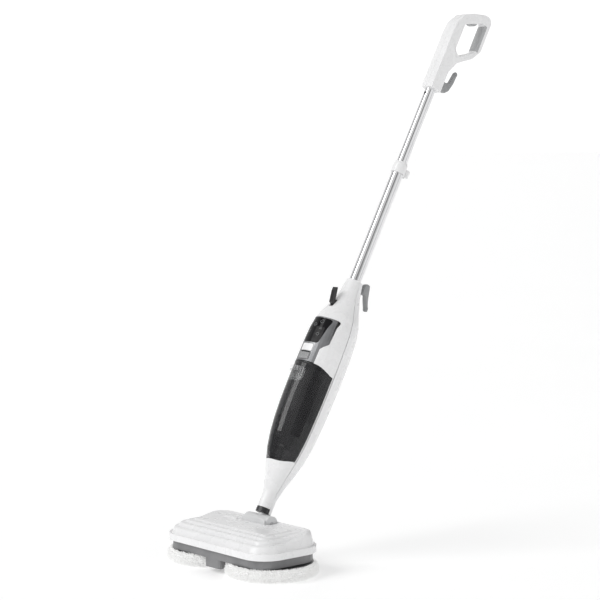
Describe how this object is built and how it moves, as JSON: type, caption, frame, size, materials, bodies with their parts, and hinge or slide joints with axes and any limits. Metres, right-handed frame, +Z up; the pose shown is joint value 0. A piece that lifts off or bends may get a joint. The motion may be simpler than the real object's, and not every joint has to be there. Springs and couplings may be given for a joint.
{
  "type": "upright steam mop",
  "caption": "Upright steam mop with counter-spinning round pads under a swivelling terraced head, clear front water tank, telescopic chrome pole and loop handle.",
  "frame": {"origin": "middle of the bounding box's base, on the floor plane", "axes": "+Z up, front of the head towards -Y, +X to the right as seen from the front"},
  "size_m": [0.362, 0.7808, 1.0999],
  "materials": {
    "white_shell": "gloss",
    "grip_soft": "soft satin",
    "light_grey": "satin",
    "pale_grey": "satin",
    "hook_grey": "satin",
    "mid_grey": "satin",
    "black_plastic": "satin",
    "black_glass": "high gloss",
    "silver_trim": "satin metallic",
    "chrome_tube": "polished",
    "steel": "brushed",
    "boiler_alloy": "cast",
    "smoked_clear": "clear smoked plastic",
    "clear_grey": "clear plastic",
    "board_green": "circuit board",
    "black_rubber": "matte",
    "microfibre": "fluffy pile"
  },
  "bodies": {
    "head": {"head_cover": "white_shell", "head_base": "mid_grey", "left_motor": "steel", "right_motor": "steel", "left_bearing": "steel", "right_bearing": "steel", "front_nozzle": "mid_grey", "rear_nozzle": "mid_grey", "base_screw_1": "steel", "base_screw_2": "steel", "base_screw_3": "steel", "hinge_bracket": "pale_grey", "lean_pin": "steel"},
    "yoke": {"yoke": "pale_grey", "swivel_pin": "steel"},
    "main_body": {"swivel_collar": "black_plastic", "rear_cover": "white_shell", "upper_front_cover": "white_shell", "lower_front_cover": "white_shell", "tank_bay_plate": "white_shell", "tank_seat": "mid_grey", "bay_roof": "mid_grey", "panel_bezel": "silver_trim", "display_glass": "black_glass", "control_board": "board_green", "tube_socket": "light_grey", "steam_boiler": "boiler_alloy", "water_pump": "black_plastic", "steam_pipe": "black_rubber", "cord_gland": "black_rubber", "body_screw_1": "steel", "body_screw_2": "steel", "lever_pin": "steel"},
    "left_pad_drive": {"left_spindle": "steel", "left_disc": "mid_grey", "left_pad": "microfibre"},
    "right_pad_drive": {"right_spindle": "steel", "right_disc": "mid_grey", "right_pad": "microfibre"},
    "start_button": {"start_button": "white_shell"},
    "tank_latch": {"tank_latch": "mid_grey"},
    "tank": {"tank_shell": "smoked_clear", "tank_valve": "black_plastic", "pickup_tube": "black_rubber"},
    "filler_flap": {"filler_flap": "clear_grey"},
    "release_lever": {"release_lever": "black_plastic"},
    "lower_cord_hook": {"lower_cord_hook": "hook_grey"},
    "lower_pole": {"lower_tube": "chrome_tube", "pole_collar": "white_shell"},
    "upper_pole": {"upper_tube": "chrome_tube", "handle_left": "white_shell", "handle_right": "white_shell", "grip_insert": "grip_soft", "handle_screw_1": "steel", "handle_screw_2": "steel"},
    "upper_cord_hook": {"upper_cord_hook": "hook_grey"},
    "steam_trigger": {"steam_trigger": "grip_soft"},
    "snap_button": {"snap_button": "black_plastic"}
  },
  "joints": [
    {"name": "lean", "type": "hinge", "parent": "head", "child": "yoke", "pos_m": [0, -0.25334, 0.08381], "axis": [1, 0, 0], "range_deg": [-33, 28.8]},
    {"name": "steer", "type": "hinge", "parent": "yoke", "child": "main_body", "pos_m": [0, -0.249, 0.0917], "axis": [0, 0.4817, 0.8763], "range_deg": [-45, 45]},
    {"name": "right_pad_spin", "type": "hinge", "parent": "head", "child": "right_pad_drive", "pos_m": [0.091, -0.3004, 0.02], "axis": [0, 0, 1], "continuous": true},
    {"name": "left_pad_spin", "type": "hinge", "parent": "head", "child": "left_pad_drive", "pos_m": [-0.091, -0.3004, 0.02], "axis": [0, 0, 1], "continuous": true},
    {"name": "start_press", "type": "slide", "parent": "main_body", "child": "start_button", "axis": [0, 0.8763, -0.4817], "range_m": [0, 0.0012], "stiffness_N_per_m": 400, "springref_m": -0.0005},
    {"name": "latch_slide", "type": "slide", "parent": "main_body", "child": "tank_latch", "axis": [0, 0.4817, 0.8763], "range_m": [0, 0.002], "stiffness_N_per_m": 300, "springref_m": -0.001},
    {"name": "tank_removal", "type": "slide", "parent": "main_body", "child": "tank", "axis": [0, -0.8763, 0.4817], "range_m": [0, 0.08]},
    {"name": "flap_hinge", "type": "hinge", "parent": "tank", "child": "filler_flap", "pos_m": [0, -0.16846, 0.36067], "axis": [1, 0, 0], "range_deg": [0, 90]},
    {"name": "lever_press", "type": "hinge", "parent": "main_body", "child": "release_lever", "pos_m": [0, -0.05228, 0.50392], "axis": [1, 0, 0], "range_deg": [-8, 0], "stiffness_Nm_per_rad": 0.05, "springref_deg": 2.86},
    {"name": "lower_hook_turn", "type": "hinge", "parent": "main_body", "child": "lower_cord_hook", "pos_m": [0, 0.01773, 0.52705], "axis": [0, 0.8763, -0.4817], "range_deg": [0, 180]},
    {"name": "pole_release", "type": "slide", "parent": "main_body", "child": "lower_pole", "axis": [0, 0.4817, 0.8763], "range_m": [0, 0.055]},
    {"name": "pole_telescope", "type": "slide", "parent": "lower_pole", "child": "upper_pole", "axis": [0, 0.4817, 0.8763], "range_m": [-0.13, 0]},
    {"name": "upper_hook_turn", "type": "hinge", "parent": "upper_pole", "child": "upper_cord_hook", "pos_m": [0, 0.24354, 0.9461], "axis": [0, 0.8763, -0.4817], "range_deg": [0, 180]},
    {"name": "trigger_press", "type": "slide", "parent": "upper_pole", "child": "steam_trigger", "axis": [0, -0.0268, 0.9996], "range_m": [0, 0.003], "stiffness_N_per_m": 250, "springref_m": -0.001},
    {"name": "snap_press", "type": "slide", "parent": "upper_pole", "child": "snap_button", "axis": [0, 0.8763, -0.4817], "range_m": [0, 0.002], "stiffness_N_per_m": 400, "springref_m": -0.0005}
  ],
  "couplings": [
    {"joint": "left_pad_spin", "follows": "right_pad_spin", "ratio": -1}
  ]
}
